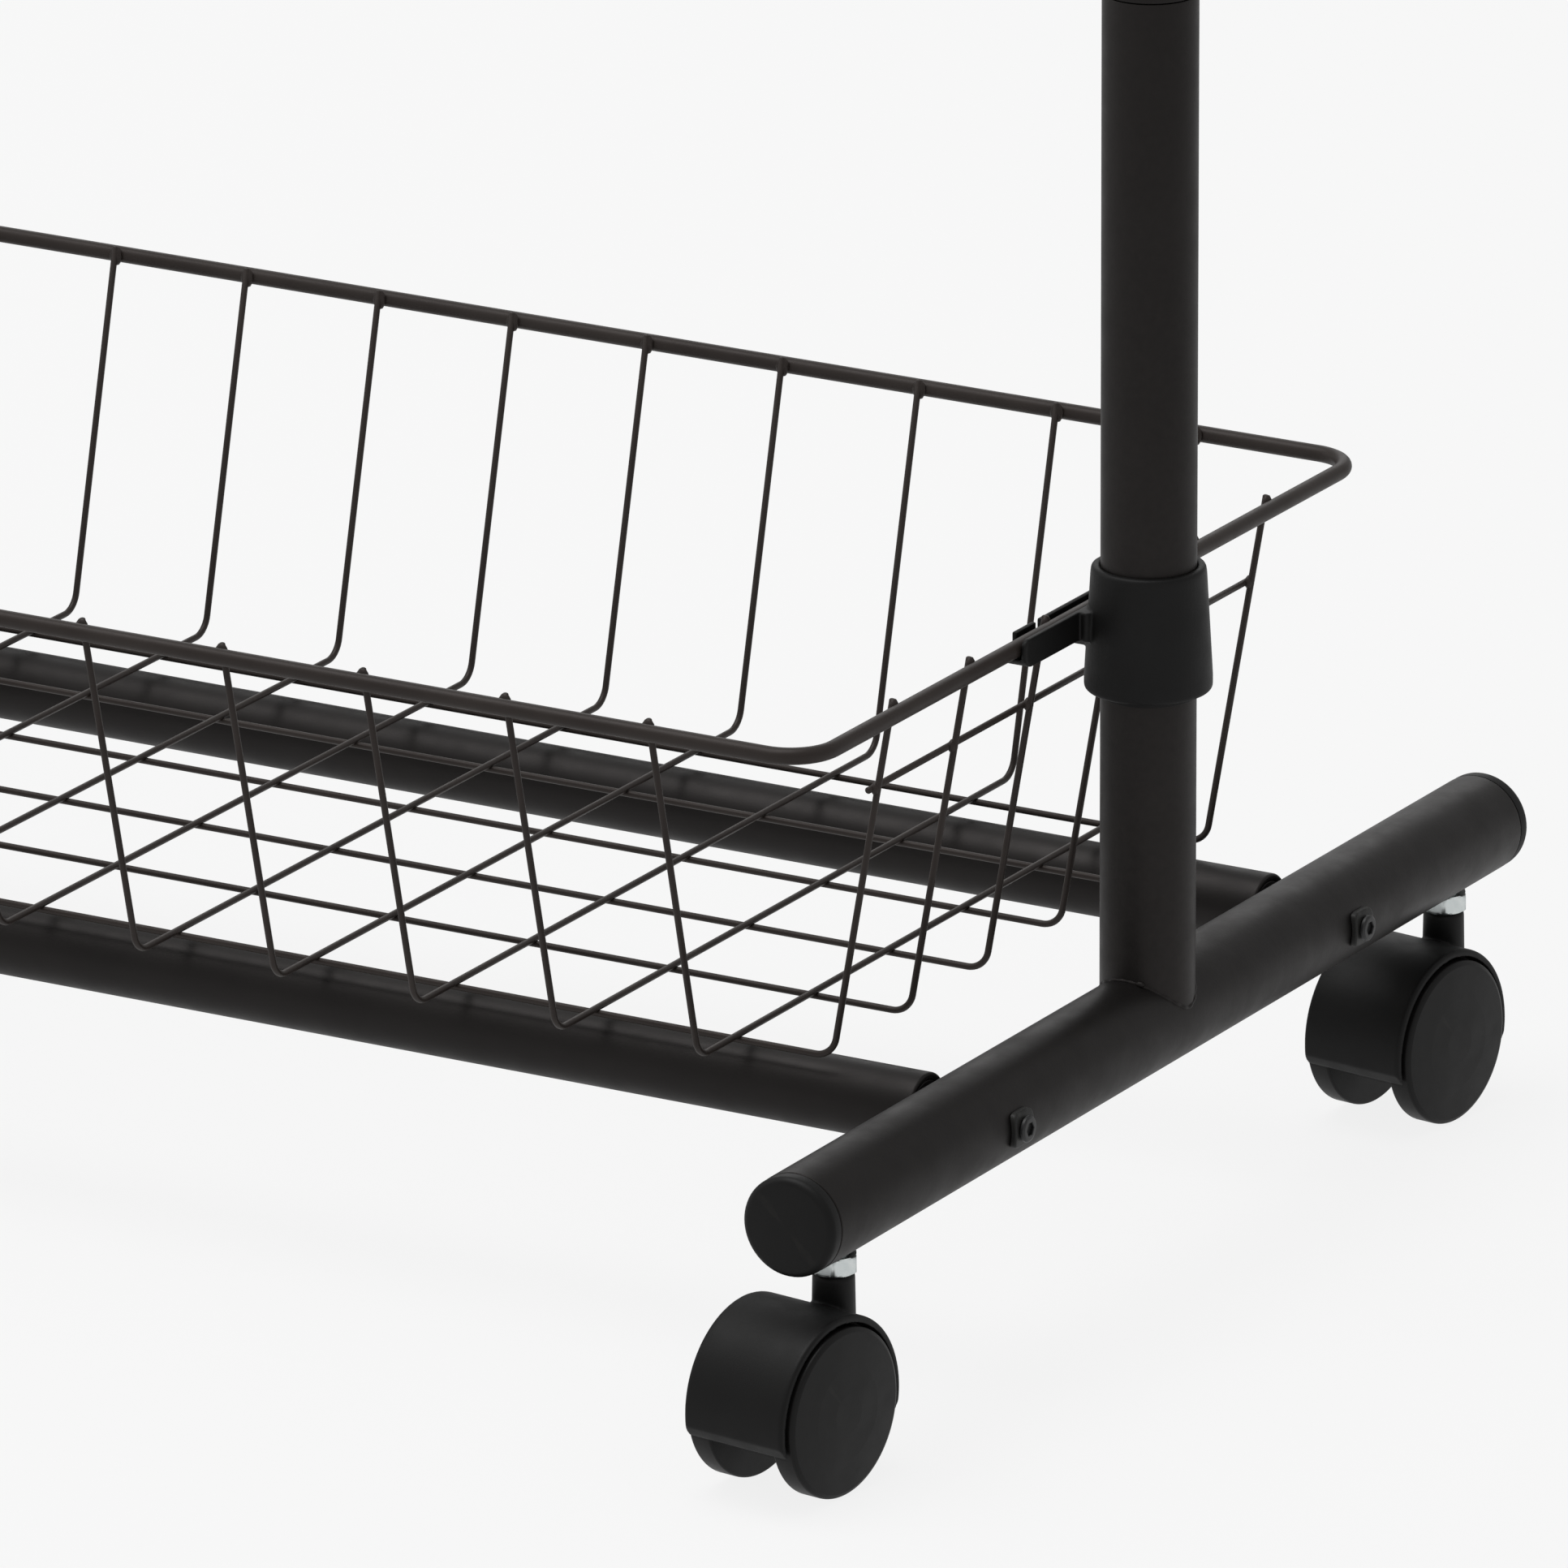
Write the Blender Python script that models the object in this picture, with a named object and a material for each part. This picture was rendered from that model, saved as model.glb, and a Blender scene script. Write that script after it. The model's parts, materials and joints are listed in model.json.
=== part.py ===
"""Rolling clothes rack: two T-shaped ends on twin-wheel casters, two cross tubes, a lift-off wire basket
hung on moulded brackets, and a hanging rail. Metres, +Z up, front is -Y. Sizes below are in millimetres."""

import math

import bmesh
import bpy
from mathutils import Vector

MM = 0.001

# Overall layout
POST_SPACING = 857.0
LEG_Z = 79.0
TUBE_Y = 102.5
CASTER_Y = 183.5
CENTRE_Y = 11.3557
SEGMENTS = 20

# Tubes
WALL = 1.2
LEG_R = 15.0
LEG_HALF = 204.5
CAP_DOME = 5.6
POST_R = 14.0
CROSS_R = 11.0
RAIL_R = 12.5
GAP = 0.3

# Heights of the post joints and the rail
LOWER_TOP = 389.0
MIDDLE_TOP = 985.0
UPPER_TOP = 1565.0
RAIL_Z = 1580.0
SPIGOT_HALF = 40.0

# Casters
WHEEL_R = 25.0
WHEEL_SEGMENTS = 28
TRAIL = 19.6
SWIVEL = 7.1
HOOD_R = 28.2
HOOD_INNER_R = 25.9
HOOD_HALF = 17.4
HOOD_LIP = 2.2
HOOD_OUTER_END = -7.0
HOOD_INNER_END = -18.0
WEB_HALF = 1.7
NECK_R = 6.1
NECK_LOW = 34.0
PIN_R = 4.0
AXLE_R = 3.0
AXLE_HALF = 13.5
HUB_R = 8.0
HUB_FACE = 2.2
TREAD_FACE = 11.2
DISC_FACE = 20.2

# Basket
RIM_Z = LEG_Z + 122.3
RIM_R = 2.5
RIM_INSET = 18.7
RIM_Y = 164.0
RIM_CORNER = 14.0
WIRE_R = 1.0
FLOOR_Z = LEG_Z + 15.7
FLOOR_Y = 134.0
FLOOR_INSET = 41.6
LAST_CROSS_WIRE = 73.0
CROSS_WIRES = 16
LONG_WIRES = 6
LONG_PITCH = 44.4
WELD_SINK = 0.5
END_WIRE_DROP = 24.5
END_WIRE_OVERHANG = 3.0
STUB_RISE = 3.6
BEND_R = 7.0

# Basket brackets
COLLAR_LOW = LEG_Z + 101.1
COLLAR_TOP = LEG_Z + 138.6
SLEEVE_LOW = LEG_Z + 99.3
SLEEVE_TOP = COLLAR_TOP - 3.0
SLEEVE_ROOM = 1.2
HOOK_HALF = 47.0
HOOK_CORNER = 4.5
NEAR_WALL_RISE = 3.4
NEAR_WALL = 1.7
FAR_LIP_RISE = 1.5
FAR_LIP_HALF = 35.5
FAR_LIP = 1.6
HOOK_FLOOR = 2.5

# Bolts through the legs
BOLT_R = 3.0
BOLT_HOLE_R = 3.4
BOLT_HEAD_R = 3.95
BOLT_HEAD = 1.4
WASHER = 1.6
WASHER_HALF_Y = 5.3
WASHER_HALF_Z = 5.5
WASHER_CORNER = 2.0
INSERT_LENGTH = 22.0

HALF = POST_SPACING / 2


def clear_scene():
    for obj in list(bpy.data.objects):
        bpy.data.objects.remove(obj, do_unlink=True)


def material(name, colour, roughness, metallic=0.0):
    made = bpy.data.materials.new(name)
    made.use_nodes = True
    shader = made.node_tree.nodes["Principled BSDF"]
    shader.inputs["Base Color"].default_value = (*colour, 1.0)
    shader.inputs["Roughness"].default_value = roughness
    shader.inputs["Metallic"].default_value = metallic
    return made


def solid(verts, faces):
    """A mesh from points in millimetres, with its faces turned outwards."""
    mesh = bpy.data.meshes.new("solid")
    mesh.from_pydata([(x * MM, y * MM, z * MM) for x, y, z in verts], [], faces)
    body = bmesh.new()
    body.from_mesh(mesh)
    bmesh.ops.recalc_face_normals(body, faces=body.faces)
    body.to_mesh(mesh)
    body.free()
    return mesh


def turned(point, axis):
    """A point made along +Z laid along the named axis."""
    x, y, z = point
    if axis == "X":
        return (z, x, y)
    if axis == "Y":
        return (y, z, x)
    return (x, y, z)


def revolve(profile, axis="Z", segments=SEGMENTS, centre=(0, 0, 0)):
    """A closed (radius, height) profile turned once round the axis. Points at radius 0 close the ends."""
    verts = []
    rings = []
    for radius, height in profile:
        if radius == 0:
            rings.append([len(verts)] * segments)
            verts.append((0, 0, height))
            continue
        rings.append(list(range(len(verts), len(verts) + segments)))
        for step in range(segments):
            angle = (step + 0.5) * 2 * math.pi / segments
            verts.append((radius * math.cos(angle), radius * math.sin(angle), height))
    faces = []
    for low, high in zip(rings, rings[1:] + rings[:1]):
        for step in range(segments):
            after = (step + 1) % segments
            loop = [low[step], low[after], high[after], high[step]]
            loop = [v for i, v in enumerate(loop) if v not in loop[:i]]
            if len(loop) > 2:
                faces.append(loop)
    points = [turned(v, axis) for v in verts]
    return solid([tuple(p[i] + centre[i] for i in range(3)) for p in points], faces)


def cylinder(radius, low, high, axis="Z", segments=SEGMENTS, centre=(0, 0, 0)):
    return revolve([(0, low), (radius, low), (radius, high), (0, high)], axis, segments, centre)


def tube(radius, low, high, axis="Z", wall=WALL, segments=SEGMENTS, centre=(0, 0, 0)):
    inner = radius - wall
    return revolve([(inner, low), (radius, low), (radius, high), (inner, high)], axis, segments, centre)


def extrude(outline, low, high, axis="X"):
    """A flat outline pushed from low to high along the axis."""
    count = len(outline)
    verts = [turned((a, b, h), axis) for h in (low, high) for a, b in outline]
    faces = [list(range(count))[::-1], list(range(count, 2 * count))]
    for i in range(count):
        j = (i + 1) % count
        faces.append([i, j, count + j, count + i])
    return solid(verts, faces)


def box(low, high):
    return extrude([(low[1], low[2]), (high[1], low[2]), (high[1], high[2]), (low[1], high[2])], low[0], high[0])


def arc(centre, radius, start, end, steps):
    points = []
    for i in range(steps + 1):
        angle = math.radians(start + (end - start) * i / steps)
        points.append((centre[0] + radius * math.cos(angle), centre[1] + radius * math.sin(angle)))
    return points


def wire(path, radius, sides, square, closed=False):
    """A round wire along a flat path, with flat ends. `square` is the direction square to the path's plane."""
    points = [Vector(p) for p in path]
    square = Vector(square)
    count = len(points)
    verts = []
    for i, here in enumerate(points):
        came = (here - points[i - 1]).normalized() if closed or i > 0 else Vector()
        goes = (points[(i + 1) % count] - here).normalized() if closed or i < count - 1 else Vector()
        along = (came + goes).normalized()
        side = along.cross(square) / max(along.dot(came), along.dot(goes))
        for step in range(sides):
            angle = (step + 0.5) * 2 * math.pi / sides
            verts.append(here + radius * (math.cos(angle) * side + math.sin(angle) * square))
    faces = []
    for i in range(count if closed else count - 1):
        low, high = i * sides, (i + 1) % count * sides
        for step in range(sides):
            after = (step + 1) % sides
            faces.append([low + step, low + after, high + after, high + step])
    if not closed:
        faces += [list(range(sides))[::-1], list(range(len(verts) - sides, len(verts)))]
    return solid(verts, faces)


def sector(section, centre, steps):
    """A (radius, x, start angle) section swept round the X axis to the mirrored angle, with closed ends."""
    count = len(section)
    verts = []
    for i in range(steps + 1):
        for radius, x, start in section:
            angle = math.radians(start + (180 - 2 * start) * i / steps)
            verts.append((x, centre[0] + radius * math.cos(angle), centre[1] + radius * math.sin(angle)))
    faces = [list(range(count))[::-1], list(range(len(verts) - count, len(verts)))]
    for i in range(steps):
        for j in range(count):
            k = (j + 1) % count
            faces.append([i * count + j, i * count + k, (i + 1) * count + k, (i + 1) * count + j])
    return solid(verts, faces)


def combine(first, others, operation):
    """The first mesh with each of the others added or cut away."""
    base = bpy.data.objects.new("base", first)
    bpy.context.scene.collection.objects.link(base)
    helpers = bpy.data.collections.new("helpers")
    bpy.context.scene.collection.children.link(helpers)
    for mesh in others:
        helper = bpy.data.objects.new("helper", mesh)
        helper.hide_render = True
        helper.display_type = "WIRE"
        helpers.objects.link(helper)
    modifier = base.modifiers.new("combine", "BOOLEAN")
    modifier.operation = operation
    modifier.solver = "EXACT"
    modifier.operand_type = "COLLECTION"
    modifier.collection = helpers
    bpy.context.view_layer.update()
    graph = bpy.context.evaluated_depsgraph_get()
    result = bpy.data.meshes.new_from_object(base.evaluated_get(graph))
    for helper in list(helpers.objects):
        bpy.data.objects.remove(helper, do_unlink=True)
    bpy.data.collections.remove(helpers)
    bpy.data.objects.remove(base, do_unlink=True)
    return result


def cut(mesh, *cutters):
    for cutter in cutters:
        mesh = combine(mesh, [cutter], "DIFFERENCE")
    return mesh


def place(name, mesh, look, at=(0, 0, 0), turn=0.0, tilt=0.0, parent=None):
    """One named sub-part. at is its origin in millimetres, turn is about Z and tilt about X, in degrees."""
    own = mesh.copy()
    own.name = name
    own.materials.clear()
    own.materials.append(look)
    for face in own.polygons:
        face.use_smooth = True
        face.material_index = 0
    own.set_sharp_from_angle(angle=math.radians(32))
    obj = bpy.data.objects.new(name, own)
    obj.location = [c * MM for c in at]
    obj.rotation_euler = (math.radians(tilt), 0, math.radians(turn))
    if parent:
        obj.parent = parent
    bpy.context.scene.collection.objects.link(obj)
    return obj


def empty(name, at, turn=0.0, parent=None):
    obj = bpy.data.objects.new(name, None)
    obj.location = [c * MM for c in at]
    obj.rotation_euler = (0, 0, math.radians(turn))
    if parent:
        obj.parent = parent
    bpy.context.scene.collection.objects.link(obj)
    return obj


def leg_tube():
    body = tube(LEG_R, -LEG_HALF, LEG_HALF, "Y")
    bolts = [cylinder(BOLT_HOLE_R, -20, 20, "X", 10, (0, side * TUBE_Y, 0)) for side in (-1, 1)]
    stems = [cylinder(PIN_R + GAP, -18, -8, "Z", 12, (0, side * CASTER_Y, 0)) for side in (-1, 1)]
    return cut(body, *bolts, *stems)


def leg_cap():
    """Plug and domed flange, made pointing along +Y from the tube's end."""
    plug = LEG_R - WALL - 0.5
    profile = [(0, -12), (plug - 1, -12), (plug, -10.5), (plug, GAP), (LEG_R, GAP)]
    profile += [(LEG_R, CAP_DOME - 2.4), (LEG_R - 0.6, CAP_DOME - 1.2), (LEG_R - 1.8, CAP_DOME - 0.5)]
    profile += [(LEG_R - 5, CAP_DOME - 0.1), (0, CAP_DOME)]
    return revolve(profile, "Y")


def lower_post():
    """Tube with its foot cut to sit on the leg. Its origin is on the leg's axis."""
    saddle = LEG_R + GAP
    verts = []
    for radius in (POST_R, POST_R - WALL):
        for low in (True, False):
            for step in range(SEGMENTS):
                angle = (step + 0.5) * 2 * math.pi / SEGMENTS
                x = radius * math.cos(angle)
                z = math.sqrt(saddle**2 - x * x) if low else LOWER_TOP - LEG_Z
                verts.append((x, radius * math.sin(angle), z))
    faces = []
    for low, high in ((0, 1), (2, 3), (0, 2), (1, 3)):
        for step in range(SEGMENTS):
            after = (step + 1) % SEGMENTS
            a, b = low * SEGMENTS, high * SEGMENTS
            faces.append([a + step, a + after, b + after, b + step])
    return solid(verts, faces)


def saddle_washer():
    """Curved rounded plate on the leg's outer side, made for the +X side."""
    y, z = WASHER_HALF_Y - WASHER_CORNER, WASHER_HALF_Z - WASHER_CORNER
    outline = []
    for centre, start in (((y, z), 0), ((-y, z), 90), ((-y, -z), 180), ((y, -z), 270)):
        outline += arc(centre, WASHER_CORNER, start, start + 90, 3)
    plate = extrude(outline, 12, 20)
    shell = tube(LEG_R + GAP + WASHER, -9, 9, "Y", WASHER)
    return cut(combine(plate, [shell], "INTERSECT"), cylinder(BOLT_HOLE_R, 10, 22, "X", 10))


def bolt():
    """Low socket-head bolt, made pointing along -X with its head outside."""
    head = LEG_R + WASHER + 2 * GAP
    tip = -LEG_R - 27
    profile = [(0, tip), (BOLT_R - 0.6, tip), (BOLT_R, tip + 1), (BOLT_R, head), (BOLT_HEAD_R, head)]
    profile += [(BOLT_HEAD_R, head + 0.6), (BOLT_HEAD_R - 0.7, head + 1.3), (0, head + BOLT_HEAD)]
    socket = extrude(arc((0, 0), 2.1, 0, 300, 5), head + 0.4, head + 4)
    return cut(revolve(profile, "X", 16), socket)


def tube_insert():
    """Threaded plug that fills a cross tube's end, open along its axis."""
    outer = CROSS_R - WALL - GAP
    bore = BOLT_R + GAP
    return revolve([(bore, 0), (outer, 0), (outer, INSERT_LENGTH), (bore, INSERT_LENGTH)], "X", 16)


def caster_stem():
    """Zinc-plated hexagon with a threaded shank above and a plain pin below. Its origin is on the floor."""
    under = LEG_Z - LEG_R - GAP
    hexagon = extrude(arc((0, 0), 7.5, 0, 300, 5), under - 5.4, under, "Z")
    shank = cylinder(PIN_R, under - 15.6, LEG_Z - 2, "Z", 16)
    return combine(hexagon, [shank], "UNION")


def caster_housing():
    """Neck, centre web and hood. The swivel axis is Z and the wheel axle lies TRAIL in front of it."""
    neck_top = LEG_Z - LEG_R - GAP - 5.7
    axle = (-TRAIL, WHEEL_R)
    start, inner_start = HOOD_OUTER_END, HOOD_INNER_END
    half = [(HOOD_R, HOOD_HALF - HOOD_LIP, start), (HOOD_R - 0.6, HOOD_HALF - 0.6, start - 2)]
    half += [(HOOD_R - 1.7, HOOD_HALF, inner_start + 2), (HOOD_INNER_R, HOOD_HALF, inner_start)]
    hood = sector(half[::-1] + [(r, -x, a) for r, x, a in half], axle, 26)
    web = arc(axle, HOOD_R - 1, -10, 190, 18)
    web += [(axle[0] - 9, axle[1] - 7), (axle[0] - 4, axle[1] - 9)]
    web += [(axle[0] + 4, axle[1] - 9), (axle[0] + 9, axle[1] - 7)]
    neck = cylinder(NECK_R, NECK_LOW, neck_top, "Z", 18)
    neck = cut(neck, cylinder(HOOD_R - 1.5, -12, 12, "X", 32, (0, *axle)))
    body = combine(hood, [extrude(web, -WEB_HALF, WEB_HALF), neck], "UNION")
    pin_bore = cylinder(PIN_R + 0.08, neck_top - 10.4, neck_top + 3, "Z", 16)
    return cut(body, pin_bore, cylinder(AXLE_R + GAP, -5, 5, "X", 12, (0, *axle)))


def wheel():
    """Thin domed wheel on a hub with a blind bore, made for the +X side of the axle."""
    tread = WHEEL_R / math.cos(math.pi / WHEEL_SEGMENTS)
    bore = AXLE_R + 0.1
    profile = [(0, AXLE_HALF + 0.5), (bore, AXLE_HALF + 0.5), (bore, HUB_FACE), (HUB_R, HUB_FACE)]
    profile += [(HUB_R, TREAD_FACE), (tread - 1, TREAD_FACE), (tread, TREAD_FACE + 1)]
    profile += [(tread, DISC_FACE - 2.6), (tread - 1, DISC_FACE - 1.4), (20, DISC_FACE - 0.8)]
    profile += [(10, DISC_FACE - 0.2), (0, DISC_FACE)]
    return revolve(profile, "X", WHEEL_SEGMENTS)


def basket_rim():
    half_x = HALF - RIM_INSET
    path = []
    for x, y, start in ((1, 1, 0), (-1, 1, 90), (-1, -1, 180), (1, -1, 270)):
        centre = (x * (half_x - RIM_CORNER), y * (RIM_Y - RIM_CORNER))
        path += [(a, b, RIM_Z) for a, b in arc(centre, RIM_CORNER, start, start + 90, 6)]
    return wire(path, RIM_R, 10, (0, 0, 1), closed=True)


def bent_profile(top_half, floor_half, floor_z):
    """Half of a U-shaped wire, from its top to the middle of the floor, as (distance, height)."""
    height = RIM_Z - floor_z
    slope = math.atan2(top_half - floor_half, height)
    top = (top_half + STUB_RISE * math.tan(slope), RIM_Z + STUB_RISE)
    turn = math.pi / 2 - slope
    reach = BEND_R * math.tan(turn / 2)
    centre = (floor_half - reach, floor_z + BEND_R)
    return [top] + arc(centre, BEND_R, -math.degrees(slope), -90, 3)


def u_wire(top_half, floor_half, floor_z, across, fixed):
    """A wire up one wall, along the floor and up the other wall, in the plane where `across` is fixed."""
    half = bent_profile(top_half, floor_half, floor_z)
    line = [(-d, z) for d, z in half] + [(d, z) for d, z in half[::-1]]
    if across == "X":
        return wire([(fixed, d, z) for d, z in line], WIRE_R, 5, (1, 0, 0))
    return wire([(d, fixed, z) for d, z in line], WIRE_R, 5, (0, 1, 0))


def basket_wires():
    """Cross wires inside, long wires under them, and one wire along each end wall, welded into one grid."""
    inside = RIM_R + WIRE_R + GAP
    under = FLOOR_Z - 2 * WIRE_R + WELD_SINK
    wires = []
    pitch = 2 * (HALF - LAST_CROSS_WIRE) / (CROSS_WIRES - 1)
    for i in range(CROSS_WIRES):
        x = -HALF + LAST_CROSS_WIRE + pitch * i
        wires.append(u_wire(RIM_Y - inside, FLOOR_Y, FLOOR_Z, "X", x))
    top_x = HALF - RIM_INSET - inside
    floor_x = HALF - FLOOR_INSET
    for i in range(LONG_WIRES):
        y = LONG_PITCH * (i - (LONG_WIRES - 1) / 2)
        wires.append(u_wire(top_x, floor_x, under, "Y", y))
    lean = (top_x - floor_x) / (RIM_Z - under)
    end_x = top_x - lean * END_WIRE_DROP - 2 * WIRE_R + WELD_SINK
    end_y = LONG_PITCH * (LONG_WIRES - 1) / 2 + END_WIRE_OVERHANG
    end_z = RIM_Z - END_WIRE_DROP
    for side in (-1, 1):
        ends = [(side * end_x, -end_y, end_z), (side * end_x, end_y, end_z)]
        wires.append(wire(ends, WIRE_R, 5, (1, 0, 0)))
    return combine(wires[0], wires[1:], "UNION")


def split_sleeve():
    """Thin tapered sleeve between post and collar, slit on its outer side."""
    inner = POST_R + GAP
    low = SLEEVE_LOW
    profile = [(inner, low), (inner + 0.4, low), (inner + 0.4, COLLAR_LOW), (inner + 0.9, COLLAR_LOW + 0.5)]
    profile += [(inner + 0.7, SLEEVE_TOP), (inner, SLEEVE_TOP)]
    return cut(revolve(profile), box((10, -0.6, low - 5), (20, 0.6, COLLAR_TOP + 5)))


def basket_bracket():
    """Tapered collar with a hook channel on its inner side, made for the +X post."""
    low, top = COLLAR_LOW, COLLAR_TOP
    collar = revolve([(10, low), (18.0, low), (18.7, low + 1.2), (18.7, low + 4), (16.9, top - 2.4)]
                     + [(16.5, top - 0.7), (15.8, top), (10, top)])
    floor = RIM_Z - RIM_R - GAP
    under = floor - HOOK_FLOOR
    near_top = RIM_Z + NEAR_WALL_RISE
    far_top = RIM_Z + FAR_LIP_RISE
    near = -RIM_INSET + RIM_R + GAP
    far = near - 2 * RIM_R - 2 * WIRE_R - 3 * GAP
    end, corner = HOOK_HALF - HOOK_CORNER, HOOK_CORNER
    right = [(17, under - 5), (19, under - 1.6), (22.5, under)]
    right += arc((end, under + corner), corner, -90, 0, 4) + [(HOOK_HALF, near_top - 2), (HOOK_HALF - 2, near_top)]
    outline = right + [(-y, z) for y, z in right[::-1]]
    wing = extrude(outline, far - FAR_LIP, near + NEAR_WALL)
    cutters = [box((far, -60, floor), (near, 60, top + 5))]
    cutters.append(box((far - 3, -60, far_top), (far + 0.2, 60, near_top + 2)))
    for side in (-1, 1):
        y = side * (60 + FAR_LIP_HALF) / 2
        reach = (60 - FAR_LIP_HALF) / 2
        cutters.append(box((far - 3, y - reach, under - 3), (far + 0.2, y + reach, near_top + 3)))
        y = side * LONG_PITCH / 2
        cutters.append(box((far - 3, y - 2, under - 3), (far + 3.2, y + 2, near_top + 3)))
    body = combine(collar, [wing], "UNION")
    sleeve_bore = cylinder(POST_R + GAP + SLEEVE_ROOM, low - 8, SLEEVE_TOP + GAP)
    post_bore = cylinder(POST_R + GAP, low - 8, top + 5)
    return cut(body, sleeve_bore, post_bore, *cutters)


def rail_corner():
    """Elbow over the post's top and the rail's end, made for the +X post, with its origin on the rail's axis."""
    drop = RAIL_Z - UPPER_TOP
    upright = cylinder(16.4, -62, 0, "Z")
    level = cylinder(15.2, -48, 0, "X")
    ball = revolve([(0, -16.4)] + [(r, h) for h, r in arc((0, 0), 16.4, 162, 18, 6)] + [(0, 16.4)])
    body = combine(upright, [level, ball], "UNION")
    post_bore = cylinder(POST_R + GAP, -70, -drop + GAP)
    rail_bore = cylinder(RAIL_R + GAP, -60, -13.7, "X")
    return cut(body, post_bore, rail_bore)


def build():
    clear_scene()
    steel = material("black_powder_coat", (0.018, 0.018, 0.019), 0.42)
    wire_coat = material("black_wire_coat", (0.028, 0.024, 0.023), 0.4)
    moulded = material("black_moulded_plastic", (0.016, 0.016, 0.017), 0.5)
    wheel_look = material("black_wheel_plastic", (0.014, 0.014, 0.015), 0.38)
    washer_look = material("dark_washer_coat", (0.035, 0.035, 0.034), 0.4)
    zinc = material("zinc_plate", (0.62, 0.66, 0.66), 0.3, 1.0)
    bolt_look = material("black_oxide_bolt", (0.03, 0.03, 0.032), 0.35, 0.6)

    leg, cap, foot = leg_tube(), leg_cap(), lower_post()
    middle = tube(POST_R, 0, MIDDLE_TOP - LOWER_TOP - GAP)
    upper = tube(POST_R, 0, UPPER_TOP - MIDDLE_TOP - GAP)
    spigot = tube(POST_R - WALL - GAP, -SPIGOT_HALF, SPIGOT_HALF)
    washer, screw = saddle_washer(), bolt()
    insert = tube_insert()
    stem, housing, disc = caster_stem(), caster_housing(), wheel()
    pin = cylinder(AXLE_R, -AXLE_HALF, AXLE_HALF, "X", 12)
    sleeve, bracket, corner = split_sleeve(), basket_bracket(), rail_corner()

    for name, side, turn in (("right", 1, 0), ("left", -1, 180)):
        x = side * HALF
        place(f"{name}_leg", leg, steel, (x, CENTRE_Y, LEG_Z))
        place(f"{name}_lower_post", foot, steel, (x, CENTRE_Y, LEG_Z))
        place(f"{name}_middle_post", middle, steel, (x, CENTRE_Y, LOWER_TOP + GAP))
        place(f"{name}_upper_post", upper, steel, (x, CENTRE_Y, MIDDLE_TOP + GAP))
        place(f"{name}_lower_post_joiner", spigot, steel, (x, CENTRE_Y, LOWER_TOP))
        place(f"{name}_upper_post_joiner", spigot, steel, (x, CENTRE_Y, MIDDLE_TOP))
        place(f"{name}_bracket_sleeve", sleeve, moulded, (x, CENTRE_Y, 0), turn)
        place(f"{name}_basket_bracket", bracket, moulded, (x, CENTRE_Y, 0), turn)
        place(f"{name}_rail_corner", corner, moulded, (x, CENTRE_Y, RAIL_Z), turn)
        for end, way in (("front", -1), ("rear", 1)):
            where = f"{name}_{end}"
            y = CENTRE_Y + way * TUBE_Y
            place(f"{where}_leg_cap", cap, moulded, (x, CENTRE_Y + way * LEG_HALF, LEG_Z), 90 - 90 * way)
            place(f"{where}_saddle_washer", washer, washer_look, (x, y, LEG_Z), turn)
            place(f"{where}_bolt", screw, bolt_look, (x, y, LEG_Z), turn)
            place(f"{where}_insert", insert, steel, (x - side * (LEG_R + 2 * GAP), y, LEG_Z), 180 - turn)
            y = CENTRE_Y + way * CASTER_Y
            place(f"{where}_caster_stem", stem, zinc, (x, y, 0))
            pivot = empty(f"{where}_swivel", (x, y, 0), -side * SWIVEL)
            place(f"{where}_caster_housing", housing, moulded, parent=pivot)
            axle = empty(f"{where}_axle_line", (0, -TRAIL, WHEEL_R), parent=pivot)
            place(f"{where}_caster_axle", pin, zinc, parent=axle)
            outer, inner = (0, 180) if side > 0 else (180, 0)
            place(f"{where}_outer_wheel", disc, wheel_look, turn=outer, parent=axle)
            place(f"{where}_inner_wheel", disc, wheel_look, turn=inner, parent=axle)

    reach = HALF - LEG_R - GAP
    for end, way in (("front", -1), ("rear", 1)):
        cross_tube = tube(CROSS_R, -reach, reach, "X")
        place(f"{end}_cross_tube", cross_tube, steel, (0, CENTRE_Y + way * TUBE_Y, LEG_Z))
    place("hanging_rail", tube(RAIL_R, -HALF + 14, HALF - 14, "X"), steel, (0, CENTRE_Y, RAIL_Z))
    place("basket_rim", basket_rim(), wire_coat, (0, CENTRE_Y, 0))
    place("basket_wires", basket_wires(), wire_coat, (0, CENTRE_Y, 0))


build()
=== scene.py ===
import json
import math

import bmesh
import bpy
from mathutils import Matrix, Vector

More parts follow.
